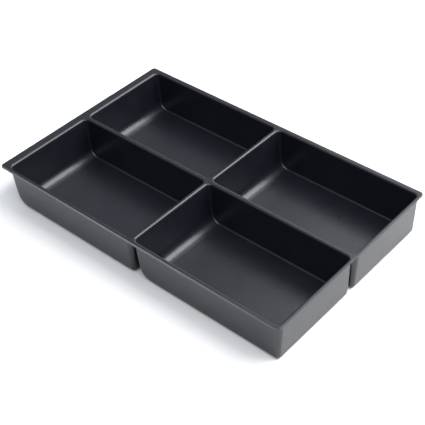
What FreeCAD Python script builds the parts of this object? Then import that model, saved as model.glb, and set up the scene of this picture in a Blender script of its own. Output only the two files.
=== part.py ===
import FreeCAD, Part
import math
import os

# Drawer insert tray: one flat rim that carries four open bins, two by two.
# X runs along the tray, Y across it, Z up. The origin is the middle of the
# underside, so the bins stand on Z = 0 and the rim's top is at Z = HEIGHT.
# The real tray is a single moulding. Here its rim and its bins are separate
# solids that meet face to face at the rim's underside.

LENGTH = 341.0
WIDTH = 218.0
HEIGHT = 44.5

# Strips of the rim, from its outer edge to the inner face of a bin's wall.
LEFT_MARGIN = 9.8
RIGHT_MARGIN = 2.7
FRONT_MARGIN = 4.3
BACK_MARGIN = 6.1
COLUMN_DIVIDER = 4.2
ROW_DIVIDER = 5.2

# The rim's outer face leans outwards on its way down, by LIP_LEAN in all.
RIM_THICKNESS = 2.6
LIP_LEAN = 0.5
RIM_CORNER_RADIUS = 3.0
RIM_EDGE_ROUNDING = 0.4
MOUTH_ROUNDING = 1.4

# Walls of one bin. The left wall leans in and runs into the floor in a scoop.
WALL = 1.8
LEFT_WALL_SLOPE = math.radians(7.5)
RIGHT_WALL_DRAFT = math.radians(2.5)
FRONT_WALL_DRAFT = math.radians(3.4)
BACK_WALL_DRAFT = math.radians(2.6)
SCOOP_RADIUS = 12.0
FLOOR_RADIUS = 2.0
RIGHT_FOOT_RADIUS = 2.5
UPRIGHT_CORNER_RADIUS = 5.0

COLUMNS = ("left", "right")
ROWS = ("front", "back")
POCKET_LENGTH = (LENGTH - LEFT_MARGIN - COLUMN_DIVIDER - RIGHT_MARGIN) / len(COLUMNS)
POCKET_WIDTH = (WIDTH - FRONT_MARGIN - ROW_DIVIDER - BACK_MARGIN) / len(ROWS)

# How far a helper solid runs past the faces that it cuts or trims.
OVERRUN = 1.0
# Edges closer than this to a level count as lying in it.
LEVEL_TOLERANCE = 0.01


def pocket_corner(column, row):
    """Left front corner of a bin's mouth, at the inner faces of its walls."""
    x = -LENGTH / 2 + LEFT_MARGIN + column * (POCKET_LENGTH + COLUMN_DIVIDER)
    y = -WIDTH / 2 + FRONT_MARGIN + row * (POCKET_WIDTH + ROW_DIVIDER)
    return x, y


def arc_point(centre_x, centre_z, radius, angle):
    """Point on a circle in the XZ plane, with the angle measured from +X to +Z."""
    x = centre_x + radius * math.cos(angle)
    z = centre_z + radius * math.sin(angle)
    return FreeCAD.Vector(x, 0, z)


def tangent_arc(centre_x, centre_z, radius, start, end):
    """Arc edge between two angles, and its two end points."""
    first = arc_point(centre_x, centre_z, radius, start)
    middle = arc_point(centre_x, centre_z, radius, (start + end) / 2)
    last = arc_point(centre_x, centre_z, radius, end)
    return Part.Arc(first, middle, last).toShape(), first, last


def side_profile(x_left, x_right, floor_z, scoop_radius, foot_radius):
    """Face in the XZ plane: leaning left wall, scoop, floor, right wall."""
    downwards = -math.pi / 2
    scoop_z = floor_z + scoop_radius
    scoop_x = (
        x_left
        + (HEIGHT - scoop_z) * math.tan(LEFT_WALL_SLOPE)
        + scoop_radius / math.cos(LEFT_WALL_SLOPE)
    )
    scoop, wall_end, floor_start = tangent_arc(
        scoop_x, scoop_z, scoop_radius, LEFT_WALL_SLOPE - math.pi, downwards
    )
    foot_z = floor_z + foot_radius
    foot_x = (
        x_right
        - (HEIGHT - foot_z) * math.tan(RIGHT_WALL_DRAFT)
        - foot_radius / math.cos(RIGHT_WALL_DRAFT)
    )
    foot, floor_end, wall_start = tangent_arc(
        foot_x, foot_z, foot_radius, downwards, -RIGHT_WALL_DRAFT
    )
    top_left = FreeCAD.Vector(x_left, 0, HEIGHT)
    top_right = FreeCAD.Vector(x_right, 0, HEIGHT)
    left_wall = Part.LineSegment(top_left, wall_end).toShape()
    floor = Part.LineSegment(floor_start, floor_end).toShape()
    right_wall = Part.LineSegment(wall_start, top_right).toShape()
    mouth = Part.LineSegment(top_right, top_left).toShape()
    return Part.Face(Part.Wire([left_wall, scoop, floor, foot, right_wall, mouth]))


def end_profile(x, y_front, y_back, floor_z):
    """Face in a YZ plane between the drafted front and back walls."""
    front_inset = (HEIGHT - floor_z) * math.tan(FRONT_WALL_DRAFT)
    back_inset = (HEIGHT - floor_z) * math.tan(BACK_WALL_DRAFT)
    outline = [
        FreeCAD.Vector(x, y_front, HEIGHT),
        FreeCAD.Vector(x, y_front + front_inset, floor_z),
        FreeCAD.Vector(x, y_back - back_inset, floor_z),
        FreeCAD.Vector(x, y_back, HEIGHT),
    ]
    return Part.Face(Part.makePolygon(outline + outline[:1]))


def fillet_list(form, upright_radius, floor_radius):
    """Edges where the front and back walls meet the others, with their radii."""
    chosen = []
    for number, edge in enumerate(form.Edges, start=1):
        in_mouth = edge.BoundBox.ZMin > HEIGHT - LEVEL_TOLERANCE
        runs_across = edge.BoundBox.YLength > POCKET_WIDTH / 2
        if in_mouth or runs_across:
            continue
        radii = []
        for parameter in (edge.FirstParameter, edge.LastParameter):
            at_mouth = edge.valueAt(parameter).z > HEIGHT - LEVEL_TOLERANCE
            radii.append(upright_radius if at_mouth else floor_radius)
        chosen.append((number, radii[0], radii[1]))
    return chosen


def round_end_walls(form, upright_radius, floor_radius):
    """Rounds a form's corners: wide at the mouth, narrowing down to the floor."""
    document = FreeCAD.newDocument("rounding")
    sharp = document.addObject("Part::Feature", "sharp")
    sharp.Shape = form
    rounded = document.addObject("Part::Fillet", "rounded")
    rounded.Base = sharp
    rounded.Edges = fillet_list(form, upright_radius, floor_radius)
    document.recompute()
    solid = rounded.Shape.Solids[0].copy()
    FreeCAD.closeDocument(document.Name)
    return solid


def bin_form(column, row, grow):
    """Closed form of a bin, from the inner faces of its walls grown outwards."""
    x, y = pocket_corner(column, row)
    x_left = x - grow / math.cos(LEFT_WALL_SLOPE)
    x_right = x + POCKET_LENGTH + grow / math.cos(RIGHT_WALL_DRAFT)
    y_front = y - grow / math.cos(FRONT_WALL_DRAFT)
    y_back = y + POCKET_WIDTH + grow / math.cos(BACK_WALL_DRAFT)
    floor_z = WALL - grow
    side = side_profile(
        x_left, x_right, floor_z, SCOOP_RADIUS + grow, RIGHT_FOOT_RADIUS + grow
    )
    side.translate(FreeCAD.Vector(0, y_front - OVERRUN, 0))
    lengthwise = side.extrude(FreeCAD.Vector(0, y_back - y_front + 2 * OVERRUN, 0))
    end = end_profile(x_left - OVERRUN, y_front, y_back, floor_z)
    crosswise = end.extrude(FreeCAD.Vector(x_right - x_left + 2 * OVERRUN, 0, 0))
    form = lengthwise.common(crosswise).Solids[0]
    return round_end_walls(form, UPRIGHT_CORNER_RADIUS + grow, FLOOR_RADIUS + grow)


def make_bin(column, row, pocket):
    """Open bin of even wall thickness that hangs from the rim's underside."""
    outside = bin_form(column, row, WALL)
    rim_layer = Part.makeBox(
        LENGTH,
        WIDTH,
        RIM_THICKNESS + OVERRUN,
        FreeCAD.Vector(-LENGTH / 2, -WIDTH / 2, HEIGHT - RIM_THICKNESS),
    )
    return outside.cut(pocket).cut(rim_layer).Solids[0]


def rim_outline(inset, z):
    """Rounded rectangle at a height, inset from the rim's widest outline."""
    block = Part.makeBox(
        LENGTH - 2 * inset,
        WIDTH - 2 * inset,
        OVERRUN,
        FreeCAD.Vector(inset - LENGTH / 2, inset - WIDTH / 2, z),
    )
    upright = [e for e in block.Edges if e.BoundBox.ZLength > LEVEL_TOLERANCE]
    rounded = block.makeFillet(RIM_CORNER_RADIUS - inset, upright)
    underside = min(rounded.Faces, key=lambda face: face.BoundBox.ZMax)
    return underside.OuterWire


def rim_blank():
    """Flat plate with a leaning outer face and a slightly rounded upper edge."""
    lower = rim_outline(0.0, HEIGHT - RIM_THICKNESS)
    upper = rim_outline(LIP_LEAN, HEIGHT)
    plate = Part.makeLoft([lower, upper], True, True)
    top_edges = [e for e in plate.Edges if e.BoundBox.ZMin > HEIGHT - LEVEL_TOLERANCE]
    return plate.makeFillet(RIM_EDGE_ROUNDING, top_edges)


def make_rim(pockets):
    """Rim with a mouth over each bin, rounded where a hand reaches in."""
    rim = rim_blank()
    for pocket in pockets:
        rim = rim.cut(pocket)
    inside_x = LENGTH / 2 - RIGHT_MARGIN / 2 - LIP_LEAN
    inside_y = WIDTH / 2 - FRONT_MARGIN / 2 - LIP_LEAN
    mouth_edges = []
    for edge in rim.Edges:
        box = edge.BoundBox
        on_top = box.ZMin > HEIGHT - LEVEL_TOLERANCE
        inside = box.XMin > -inside_x and box.XMax < inside_x
        inside = inside and box.YMin > -inside_y and box.YMax < inside_y
        if on_top and inside:
            mouth_edges.append(edge)
    return rim.makeFillet(MOUTH_ROUNDING, mouth_edges).Solids[0]


def main():
    os.makedirs("parts", exist_ok=True)
    pockets = {}
    for column, column_name in enumerate(COLUMNS):
        for row, row_name in enumerate(ROWS):
            name = "bin_" + row_name + "_" + column_name
            pockets[name] = bin_form(column, row, 0.0)
            solid = make_bin(column, row, pockets[name])
            solid.exportStep("parts/" + name + ".step")
            print(name, round(solid.Volume), "mm3", solid.isValid())
    rim = make_rim(pockets.values())
    rim.exportStep("parts/rim.step")
    print("rim", round(rim.Volume), "mm3", rim.isValid())


if __name__ == "__main__":
    main()
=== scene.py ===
"""Looks of a black moulded drawer insert tray: a flat rim that carries four scooped bins.

The pieces are built from closed loops of points. Each loop follows the walls of
one bin at one height. Lengths are in metres, in the frame's own axes.
"""

import math

import bmesh
import bpy
from mathutils import Matrix, Vector


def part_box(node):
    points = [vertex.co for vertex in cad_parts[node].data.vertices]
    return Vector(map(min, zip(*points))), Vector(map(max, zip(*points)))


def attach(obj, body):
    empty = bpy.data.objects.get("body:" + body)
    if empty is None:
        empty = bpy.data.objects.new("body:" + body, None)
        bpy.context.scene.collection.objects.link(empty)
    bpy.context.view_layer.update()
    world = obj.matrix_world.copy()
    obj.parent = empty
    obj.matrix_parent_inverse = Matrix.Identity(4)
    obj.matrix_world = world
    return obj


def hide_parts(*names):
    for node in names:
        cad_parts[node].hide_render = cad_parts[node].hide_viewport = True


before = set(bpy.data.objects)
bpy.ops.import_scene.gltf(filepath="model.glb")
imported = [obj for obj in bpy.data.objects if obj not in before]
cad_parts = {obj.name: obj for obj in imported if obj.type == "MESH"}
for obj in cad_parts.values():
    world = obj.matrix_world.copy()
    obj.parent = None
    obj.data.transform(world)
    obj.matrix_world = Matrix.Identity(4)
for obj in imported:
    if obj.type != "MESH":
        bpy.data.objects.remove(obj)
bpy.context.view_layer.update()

MM = 0.001

# Walls of one bin. The left wall leans in and runs into the floor in a scoop.
WALL = 1.8 * MM
LEFT_SLOPE = math.radians(7.5)
RIGHT_DRAFT = math.radians(2.5)
FRONT_DRAFT = math.radians(3.4)
BACK_DRAFT = math.radians(2.6)
SCOOP_RADIUS = 12.0 * MM
FOOT_RADIUS = 2.5 * MM
FLOOR_RADIUS = 2.0 * MM
UPRIGHT_RADIUS = 5.0 * MM

# Rounding of a bin's mouth on each side. Hands slide in over the left side.
MOUTH_ROUNDINGS = {"left": 3.0 * MM, "right": 1.4 * MM, "front": 2.0 * MM, "back": 2.0 * MM}

# The rim's outer face leans outwards on its way down, by LIP_LEAN in all.
RIM_CORNER_RADIUS = 3.0 * MM
LIP_LEAN = 0.5 * MM
LIP_TOP_ROUNDING = 0.3 * MM
LIP_FOOT_ROUNDING = 0.4 * MM

# Fillet where a bin's outer walls meet the rim.
UNDER_RIM_FILLET = 0.4 * MM

# Camera: it looks at a point level with the rim's top. Angles of view as in direction().
CAMERA_LENS = 86.2
CAMERA_TARGET = (36.1 * MM, -33.2 * MM)
CAMERA_AZIMUTH = 42.4
CAMERA_ELEVATION = 41.11
CAMERA_DISTANCE = 0.923
CAMERA_ROLL = math.radians(-2.49)

# Studio floor, and the pool of light on it in front of the tray.
FLOOR_HALF = 3.0
FLOOR_GAP = 0.1 * MM
POOL_CENTRE = (-0.05, -0.9)
POOL_RADIUS = 0.74
POOL_LAMP_HEIGHT = 1.5
POOL_POWER = 570
POOL_SOFT_EDGE = 0.1

# Almost straight up: at 90 degrees a lamp that looks down has no upright side.
OVERHEAD = 89.9

# Softboxes: azimuth, elevation, distance, width, height, radiance and roll.
SOFTBOXES = {
    "key": (143.5, 47.5, 1.8, 1.17, 2.1, 7.6, 44.8),
    "back_panel": (196, 50.7, 1.14, 0.42, 0.5, 2.1, 0),
    "low_panel": (203, 12, 1.5, 0.9, 0.55, 2.0, 0),
    "front_fill": (48, 60, 1.4, 1.2, 1.0, 2.6, 0),
}

# Sockets of a Mix node that mixes two colours.
MIX_FACTOR = 0
MIX_FIRST = 6
MIX_SECOND = 7
MIX_RESULT = 2

# Levels that come from the frame.
RIM_LOW, RIM_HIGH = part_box("rim")
TOP = RIM_HIGH.z
SEAM = RIM_LOW.z
BIN_NAMES = ("bin_front_left", "bin_back_left", "bin_front_right", "bin_back_right")

# How finely the loops are divided. CORNER_STEPS is a multiple of four.
CORNER_STEPS = 12
LENGTH_STEPS = 20
WIDTH_STEPS = 14
ROUNDING_STEPS = 12
WALL_STEPS = 6
SCOOP_STEPS = 30
SHARP_ANGLE = math.radians(40)
WELD_DISTANCE = 0.002 * MM

# Slope and foot radius of the walls, by the side of the bin that they are on.
SLOPES = {"left": LEFT_SLOPE, "right": RIGHT_DRAFT, "front": FRONT_DRAFT, "back": BACK_DRAFT}
FEET = {"left": SCOOP_RADIUS, "right": FOOT_RADIUS}
UNDER_RIM_FILLETS = {side: UNDER_RIM_FILLET for side in SLOPES}


def ease(share):
    """Smooth step from 0 to 1."""
    share = min(max(share, 0.0), 1.0)
    return share * share * (3 - 2 * share)


class Form:
    """Inner faces of one bin's walls, or those faces grown outwards.

    At its upper end the form flares out in an arc on each side: over the
    mouth's rounding on the inside, and under the rim's fillet on the outside.
    """

    def __init__(self, name, grow, flare_radii, flare_top):
        low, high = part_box(name)
        drop = TOP - SEAM
        spread = grow - WALL
        self.grow = grow
        self.floor = WALL - grow
        self.flare_radii = flare_radii
        self.flare_top = flare_top
        self.x_low = low.x - drop * math.tan(LEFT_SLOPE) - spread / math.cos(LEFT_SLOPE)
        self.x_high = high.x + drop * math.tan(RIGHT_DRAFT) + spread / math.cos(RIGHT_DRAFT)
        self.y_low = low.y - drop * math.tan(FRONT_DRAFT) - spread / math.cos(FRONT_DRAFT)
        self.y_high = high.y + drop * math.tan(BACK_DRAFT) + spread / math.cos(BACK_DRAFT)

    def flare(self, z, side):
        """How far the wall on a side has flared outwards at a height."""
        radius = self.flare_radii[side]
        rise = (z - self.flare_top + radius) / radius
        turn = math.asin(min(max(rise, 0.0), 1.0)) - SLOPES[side]
        return radius * (1 - math.cos(turn)) if turn > 0 else 0.0

    def reach(self, z, slope, foot, inside):
        """Distance from the mouth line to the face that lies inside the wall."""
        radius = foot - inside
        above_centre = z - self.floor - foot
        if above_centre >= -radius * math.sin(slope):
            return (TOP - z) * math.tan(slope) + inside / math.cos(slope)
        centre = (TOP - self.floor - foot) * math.tan(slope) + foot / math.cos(slope)
        return centre - math.sqrt(max(radius**2 - above_centre**2, 0.0))

    def corner_radius(self, z, slope, foot):
        """Upright corner's radius: small beside the foot arc, wide at the mouth."""
        start = self.floor + foot * (1 - math.sin(slope))
        share = ease((z - start) / (TOP - start))
        return self.grow + FLOOR_RADIUS + (UPRIGHT_RADIUS - FLOOR_RADIUS) * share

    def corner(self, z, side, end):
        """Insets of a corner's points from the lines of its side and end walls."""
        slope = SLOPES[side]
        foot = FEET[side] + self.grow
        radius = self.corner_radius(z, slope, foot)
        height = z - self.floor
        turn = math.pi / 2
        if height < radius:
            turn = math.acos(1 - max(height, 0.0) / radius)
        side_flare = self.flare(z, side)
        end_flare = self.flare(z, end)
        insets = []
        for step in range(CORNER_STEPS + 1):
            angle = turn * step / CORNER_STEPS
            inside_side = radius - (radius + side_flare) * math.cos(angle)
            inside_end = radius - (radius + end_flare) * math.sin(angle)
            from_side = self.reach(z, slope, foot, inside_side)
            from_end = (TOP - z) * math.tan(SLOPES[end]) + inside_end / math.cos(SLOPES[end])
            insets.append((from_side, from_end))
        return insets

    def loop(self, z):
        """Closed loop at a height, from the front left corner anticlockwise."""
        front_left = self.corner(z, "left", "front")
        front_right = reversed(self.corner(z, "right", "front"))
        back_right = self.corner(z, "right", "back")
        back_left = reversed(self.corner(z, "left", "back"))
        corners = (
            [(self.x_low + side, self.y_low + end) for side, end in front_left],
            [(self.x_high - side, self.y_low + end) for side, end in front_right],
            [(self.x_high - side, self.y_high - end) for side, end in back_right],
            [(self.x_low + side, self.y_high - end) for side, end in back_left],
        )
        points = []
        for number, corner in enumerate(corners):
            points += [Vector((x, y, z)) for x, y in corner]
            steps = LENGTH_STEPS if number % 2 == 0 else WIDTH_STEPS
            following = corners[(number + 1) % 4][0]
            after = Vector((following[0], following[1], z))
            before = points[-1]
            points += [before.lerp(after, step / steps) for step in range(1, steps)]
        return points

    def levels(self):
        """Heights from the flare's top to the floor, close together in every arc."""
        widest = max(self.flare_radii.values())
        rows = []
        for step in range(ROUNDING_STEPS, 0, -1):
            angle = math.pi / 2 * step / ROUNDING_STEPS
            rows.append(self.flare_top - widest * (1 - math.sin(angle)))
        scoop = SCOOP_RADIUS + self.grow
        end = math.pi / 2 - LEFT_SLOPE
        wall_top = self.flare_top - widest
        wall_foot = self.floor + scoop * (1 - math.cos(end))
        rows += [wall_top + (wall_foot - wall_top) * k / WALL_STEPS for k in range(WALL_STEPS)]
        for step in range(SCOOP_STEPS, -1, -1):
            rows.append(self.floor + scoop * (1 - math.cos(end * step / SCOOP_STEPS)))
        return rows


FRONT_START = CORNER_STEPS
RIGHT_START = FRONT_START + LENGTH_STEPS + CORNER_STEPS
BACK_START = RIGHT_START + WIDTH_STEPS + CORNER_STEPS
LEFT_START = BACK_START + LENGTH_STEPS + CORNER_STEPS
LOOP_LENGTH = LEFT_START + WIDTH_STEPS


def segment_side(number):
    """Side of the rim's cell that a loop's segment belongs to."""
    half = CORNER_STEPS // 2
    if number < half or number >= LEFT_START - half:
        return "left"
    if number < RIGHT_START - half:
        return "front"
    if number < BACK_START - half:
        return "right"
    return "back"


class Skin:
    """Points and faces of one piece, put together loop by loop."""

    def __init__(self):
        self.points = []
        self.faces = []

    def add(self, points):
        start = len(self.points)
        self.points.extend(points)
        return list(range(start, len(self.points)))

    def bridge(self, first, second, sides=None):
        """Quads between two loops, all the way round or on the named sides."""
        for i in range(LOOP_LENGTH):
            j = (i + 1) % LOOP_LENGTH
            if sides is None or segment_side(i) in sides:
                self.faces.append((first[i], first[j], second[j], second[i]))

    def tube(self, loops, sides=None):
        """Skin over a row of loops; returns the first and the last loop."""
        rows = [self.add(loop) for loop in loops]
        for first, second in zip(rows, rows[1:]):
            self.bridge(first, second, sides)
        return rows[0], rows[-1]

    def fill(self, loop):
        """Grid of quads inside a loop whose corners have closed up."""
        front = loop[FRONT_START:FRONT_START + LENGTH_STEPS + 1]
        right = loop[RIGHT_START:RIGHT_START + WIDTH_STEPS + 1]
        back = loop[BACK_START:BACK_START + LENGTH_STEPS + 1][::-1]
        left = [loop[0]] + loop[LEFT_START:][::-1]
        rows = [front]
        for start, end in zip(left[1:-1], right[1:-1]):
            a = self.points[start]
            b = self.points[end]
            inner = [a.lerp(b, k / LENGTH_STEPS) for k in range(1, LENGTH_STEPS)]
            rows.append([start] + self.add(inner) + [end])
        rows.append(back)
        for low, high in zip(rows, rows[1:]):
            for i in range(LENGTH_STEPS):
                self.faces.append((low[i], low[i + 1], high[i + 1], high[i]))

    def piece(self, name):
        """Object of the finished skin: welded, facing outwards, shaded smooth."""
        work = bmesh.new()
        corners = [work.verts.new(point) for point in self.points]
        for face in self.faces:
            work.faces.new([corners[i] for i in face])
        bmesh.ops.remove_doubles(work, verts=work.verts, dist=WELD_DISTANCE)
        bmesh.ops.dissolve_degenerate(work, edges=work.edges, dist=WELD_DISTANCE)
        bmesh.ops.recalc_face_normals(work, faces=work.faces)
        mesh = bpy.data.meshes.new(name)
        work.to_mesh(mesh)
        work.free()
        mesh.shade_smooth()
        mesh.set_sharp_from_angle(angle=SHARP_ANGLE)
        shown = bpy.data.objects.new(name, mesh)
        bpy.context.scene.collection.objects.link(shown)
        flats = shown.modifiers.new("flat faces stay flat", "WEIGHTED_NORMAL")
        flats.keep_sharp = True
        return shown


def make_bin(name):
    """Open bin with an even wall, from the rim's underside down."""
    inside = Form(name, 0.0, MOUTH_ROUNDINGS, TOP)
    outside = Form(name, WALL, UNDER_RIM_FILLETS, SEAM)
    skin = Skin()
    inner_levels = [SEAM] + [z for z in inside.levels() if z < SEAM]
    inner_top, inner_floor = skin.tube([inside.loop(z) for z in inner_levels])
    skin.fill(inner_floor)
    outer_top, underside = skin.tube([outside.loop(z) for z in outside.levels()])
    skin.fill(underside)
    skin.bridge(inner_top, outer_top)
    return skin.piece(name + "_shell")


class Cell:
    """Share of the rim around one bin's mouth, out to the next cell or the edge."""

    def __init__(self, name, others):
        low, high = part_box(name)
        self.outer = set()
        middle_x = (low.x + high.x) / 2
        middle_y = (low.y + high.y) / 2
        next_x = [box for box in others if (box[0].x > high.x or box[1].x < low.x)]
        next_y = [box for box in others if (box[0].y > high.y or box[1].y < low.y)]
        self.x_low, self.x_high = RIM_LOW.x, RIM_HIGH.x
        self.y_low, self.y_high = RIM_LOW.y, RIM_HIGH.y
        if middle_x < 0:
            self.outer.add("left")
            self.x_high = (high.x + min(box[0].x for box in next_x)) / 2
        else:
            self.outer.add("right")
            self.x_low = (low.x + max(box[1].x for box in next_x)) / 2
        if middle_y < 0:
            self.outer.add("front")
            self.y_high = (high.y + min(box[0].y for box in next_y)) / 2
        else:
            self.outer.add("back")
            self.y_low = (low.y + max(box[1].y for box in next_y)) / 2
        self.inside = Form(name, 0.0, MOUTH_ROUNDINGS, TOP)

    def bend(self, start, corner, end, radius):
        """Points from start past a corner to end, half of them on each side."""
        half = CORNER_STEPS // 2
        quarter = CORNER_STEPS // 4 if radius else half
        before = corner + (start - corner).normalized() * radius
        after = corner + (end - corner).normalized() * radius
        points = [start.lerp(before, k / quarter) for k in range(quarter + 1)]
        centre = before + after - corner
        arc = CORNER_STEPS - 2 * quarter
        for k in range(1, arc):
            angle = math.pi / 2 * k / arc
            points.append(
                centre + (before - centre) * math.cos(angle) + (after - centre) * math.sin(angle)
            )
        points += [after.lerp(end, k / quarter) for k in range(0 if radius else 1, quarter + 1)]
        return points

    def loop(self, inset, z):
        """Loop round the cell that matches the mouth's loop point by point."""
        mouth = self.inside.loop(TOP)
        x_low = self.x_low + (inset if "left" in self.outer else 0)
        x_high = self.x_high - (inset if "right" in self.outer else 0)
        y_low = self.y_low + (inset if "front" in self.outer else 0)
        y_high = self.y_high - (inset if "back" in self.outer else 0)
        plan = (
            (Vector((x_low, y_low, z)), "left", "front", 0),
            (Vector((x_high, y_low, z)), "front", "right", FRONT_START + LENGTH_STEPS),
            (Vector((x_high, y_high, z)), "right", "back", RIGHT_START + WIDTH_STEPS),
            (Vector((x_low, y_high, z)), "back", "left", BACK_START + LENGTH_STEPS),
        )
        points = []
        for number, (corner, first, second, begin) in enumerate(plan):
            start = mouth[begin]
            end = mouth[begin + CORNER_STEPS]
            across = first in ("left", "right")
            start = Vector((corner.x, start.y, z)) if across else Vector((start.x, corner.y, z))
            end = Vector((end.x, corner.y, z)) if across else Vector((corner.x, end.y, z))
            rounded = first in self.outer and second in self.outer
            radius = RIM_CORNER_RADIUS - inset if rounded else 0
            points += self.bend(start, corner, end, radius)
            steps = LENGTH_STEPS if across else WIDTH_STEPS
            for k in range(1, steps):
                point = mouth[begin + CORNER_STEPS + k]
                along = Vector((point.x, corner.y, z)) if across else Vector((corner.x, point.y, z))
                points.append(along)
        return points


def edge_profile():
    """Insets and heights down the rim's outer face, which leans between two roundings."""
    lean = math.atan(LIP_LEAN / (TOP - SEAM))
    face_turn = math.pi / 2 - lean
    rows = []
    arcs = (
        (LIP_TOP_ROUNDING, TOP - LIP_TOP_ROUNDING, 0.0, face_turn),
        (LIP_FOOT_ROUNDING, SEAM + LIP_FOOT_ROUNDING, face_turn, math.pi),
    )
    for radius, centre_z, start, end in arcs:
        centre_inset = (centre_z - SEAM) * math.tan(lean) + radius / math.cos(lean)
        for step in range(ROUNDING_STEPS + 1):
            turn = start + (end - start) * step / ROUNDING_STEPS
            inset = centre_inset - radius * math.sin(turn)
            rows.append((inset, centre_z + radius * math.cos(turn)))
    return rows


def make_rim():
    """Flat rim with four rounded mouths and a rounded outer edge."""
    skin = Skin()
    for name in BIN_NAMES:
        others = [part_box(other) for other in BIN_NAMES if other != name]
        cell = Cell(name, others)
        levels = [z for z in cell.inside.levels() if z > SEAM] + [SEAM]
        mouth_top, mouth_low = skin.tube([cell.inside.loop(z) for z in levels])
        edge = [cell.loop(inset, z) for inset, z in edge_profile()]
        edge_top, edge_low = skin.tube(edge, cell.outer)
        skin.bridge(mouth_top, edge_top)
        skin.bridge(mouth_low, edge_low)
    return skin.piece("rim_shell")


def add_node(tree, kind, **inputs):
    """Node of a kind, with values for its named inputs; names use _ for spaces."""
    made = tree.nodes.new(kind)
    for name, value in inputs.items():
        made.inputs[name.replace("_", " ")].default_value = value
    return made


def add_ramp(tree, *stops):
    """Colour ramp with two stops, each a position and a colour."""
    made = tree.nodes.new("ShaderNodeValToRGB")
    for element, (position, colour) in zip(made.color_ramp.elements, stops):
        element.position = position
        element.color = (*colour, 1)
    return made


def tray_plastic():
    """Black satin moulded plastic: fine spark grain, faint mottling, edges lighter where rubbed,
    which also paints a highlight along them.
    """
    material = bpy.data.materials.new("tray_plastic_satin")
    material.use_nodes = True
    tree = material.node_tree
    link = tree.links.new
    shader = tree.nodes["Principled BSDF"]
    shader.inputs["IOR"].default_value = 1.5
    place = tree.nodes.new("ShaderNodeTexCoord").outputs["Object"]

    mottle = add_node(tree, "ShaderNodeTexNoise", Scale=55.0, Detail=4.0, Roughness=0.6)
    link(place, mottle.inputs["Vector"])
    colour = add_ramp(tree, (0.3, (0.0062, 0.0068, 0.0105)), (0.7, (0.0086, 0.0094, 0.0140)))
    link(mottle.outputs["Fac"], colour.inputs["Fac"])

    # Lighter base colour on sharp edges, found by pointiness: partly rubbed wear, partly a painted
    # highlight along the rims and mouths.
    edge_wear_and_highlight = add_ramp(tree, (0.52, (0, 0, 0)), (0.62, (1, 1, 1)))
    link(tree.nodes.new("ShaderNodeNewGeometry").outputs["Pointiness"], edge_wear_and_highlight.inputs["Fac"])
    rubbed_and_highlit = tree.nodes.new("ShaderNodeMix")
    rubbed_and_highlit.data_type = "RGBA"
    rubbed_and_highlit.inputs[MIX_SECOND].default_value = (0.0120, 0.0122, 0.0160, 1)
    link(edge_wear_and_highlight.outputs["Color"], rubbed_and_highlit.inputs[MIX_FACTOR])
    link(colour.outputs["Color"], rubbed_and_highlit.inputs[MIX_FIRST])
    link(rubbed_and_highlit.outputs[MIX_RESULT], shader.inputs["Base Color"])

    smear = add_node(tree, "ShaderNodeTexNoise", Scale=160.0, Detail=5.0, Roughness=0.65)
    link(place, smear.inputs["Vector"])
    gloss = add_node(tree, "ShaderNodeMapRange", From_Min=0.3, From_Max=0.7, To_Min=0.27, To_Max=0.34)
    link(smear.outputs["Fac"], gloss.inputs["Value"])
    link(gloss.outputs["Result"], shader.inputs["Roughness"])

    grain = add_node(tree, "ShaderNodeTexNoise", Scale=1500.0, Detail=2.0, Roughness=0.5)
    link(place, grain.inputs["Vector"])
    bump = add_node(tree, "ShaderNodeBump", Strength=0.25, Distance=0.05 * MM)
    link(grain.outputs["Fac"], bump.inputs["Height"])
    link(bump.outputs["Normal"], shader.inputs["Normal"])
    return material


def floor_paint():
    """Plain pale studio floor."""
    material = bpy.data.materials.new("studio_floor")
    material.use_nodes = True
    shader = material.node_tree.nodes["Principled BSDF"]
    shader.inputs["Base Color"].default_value = (0.88, 0.88, 0.88, 1)
    shader.inputs["Roughness"].default_value = 0.9
    shader.inputs["Specular IOR Level"].default_value = 0.0
    return material


def make_floor():
    """Floor just below the tray's underside, so that the two never share a plane."""
    half = FLOOR_HALF
    mesh = bpy.data.meshes.new("studio_floor")
    corners = [(-half, -half, 0), (half, -half, 0), (half, half, 0), (-half, half, 0)]
    mesh.from_pydata(corners, [], [(0, 1, 2, 3)])
    floor = bpy.data.objects.new("studio_floor", mesh)
    floor.location.z = -FLOOR_GAP
    floor.data.materials.append(floor_paint())
    bpy.context.scene.collection.objects.link(floor)


def aim(thing, place, target, roll=0.0):
    """Puts a camera or light in place, looking at a target."""
    back = (place - target).normalized()
    right = Vector((0, 0, 1)).cross(back).normalized()
    up = back.cross(right)
    side = right * math.cos(roll) + up * math.sin(roll)
    top = up * math.cos(roll) - right * math.sin(roll)
    turn = Matrix((side, top, back)).transposed()
    thing.matrix_world = Matrix.Translation(place) @ turn.to_4x4()


def direction(azimuth, elevation):
    """Unit vector towards a viewer; azimuth 0 is in front, 90 on the right."""
    a = math.radians(azimuth)
    e = math.radians(elevation)
    return Vector((math.sin(a) * math.cos(e), -math.cos(a) * math.cos(e), math.sin(e)))


def make_camera():
    """Camera above the front right corner, held slightly askew."""
    lens = bpy.data.cameras.new("camera")
    lens.lens = CAMERA_LENS
    camera = bpy.data.objects.new("camera", lens)
    bpy.context.scene.collection.objects.link(camera)
    target = Vector((CAMERA_TARGET[0], CAMERA_TARGET[1], TOP))
    place = target + direction(CAMERA_AZIMUTH, CAMERA_ELEVATION) * CAMERA_DISTANCE
    aim(camera, place, target, CAMERA_ROLL)
    bpy.context.scene.camera = camera


def place_lamp(name, lamp, azimuth, elevation, distance, target, roll=0.0):
    """Puts a lamp in a direction from its target, facing it; roll in degrees."""
    light = bpy.data.objects.new(name, lamp)
    bpy.context.scene.collection.objects.link(light)
    aim(light, target + direction(azimuth, elevation) * distance, target, math.radians(roll))


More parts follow.
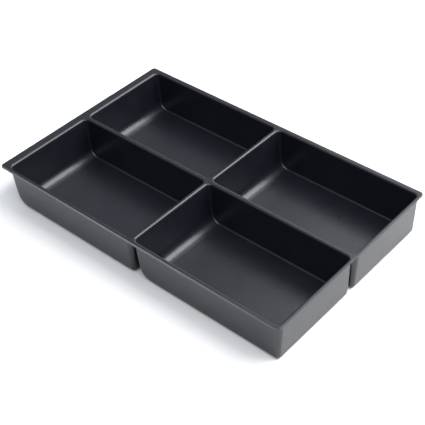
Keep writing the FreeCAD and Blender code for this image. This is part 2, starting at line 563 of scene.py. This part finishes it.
def softbox(name, azimuth, elevation, distance, width, height, radiance, roll):
    """Soft rectangular light that faces the tray, and shines with one radiance all over."""
    lamp = bpy.data.lights.new(name, "AREA")
    lamp.shape = "RECTANGLE"
    lamp.size = width
    lamp.size_y = height
    lamp.energy = radiance * math.pi * width * height
    place_lamp(name, lamp, azimuth, elevation, distance, Vector((0, 0, TOP / 2)), roll)


def floor_light():
    """Soft pool of light on the floor in front, which the rim's front face mirrors."""
    lamp = bpy.data.lights.new("floor_light", "SPOT")
    lamp.energy = POOL_POWER
    lamp.spot_size = 2 * math.atan(POOL_RADIUS / POOL_LAMP_HEIGHT)
    lamp.spot_blend = POOL_SOFT_EDGE
    centre = Vector((POOL_CENTRE[0], POOL_CENTRE[1], 0))
    place_lamp("floor_light", lamp, 0, OVERHEAD, POOL_LAMP_HEIGHT, centre)


def make_world():
    """Dim room: dark near the horizon, lighter and slightly cool overhead."""
    world = bpy.data.worlds.new("studio")
    bpy.context.scene.world = world
    world.use_nodes = True
    tree = world.node_tree
    background = tree.nodes["Background"]
    background.inputs["Color"].default_value = (0.92, 0.97, 1.06, 1)
    upward = tree.nodes.new("ShaderNodeSeparateXYZ")
    tree.links.new(tree.nodes.new("ShaderNodeTexCoord").outputs["Generated"], upward.inputs["Vector"])
    rise = add_node(tree, "ShaderNodeMapRange", From_Min=0.15, From_Max=0.6, To_Min=0.06, To_Max=0.6)
    tree.links.new(upward.outputs["Z"], rise.inputs["Value"])
    tree.links.new(rise.outputs["Result"], background.inputs["Strength"])


def make_lights():
    """Softboxes, the pool of light on the floor, and the room."""
    for name, placing in SOFTBOXES.items():
        softbox(name, *placing)
    floor_light()
    make_world()


def main():
    bpy.context.scene.view_settings.view_transform = "Standard"
    plastic = tray_plastic()
    pieces = {"rim": make_rim()}
    for name in BIN_NAMES:
        pieces[name] = make_bin(name)
    for name, piece in pieces.items():
        piece.data.materials.append(plastic)
        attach(piece, "root")
        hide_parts(name)
    make_floor()
    make_camera()
    make_lights()


main()
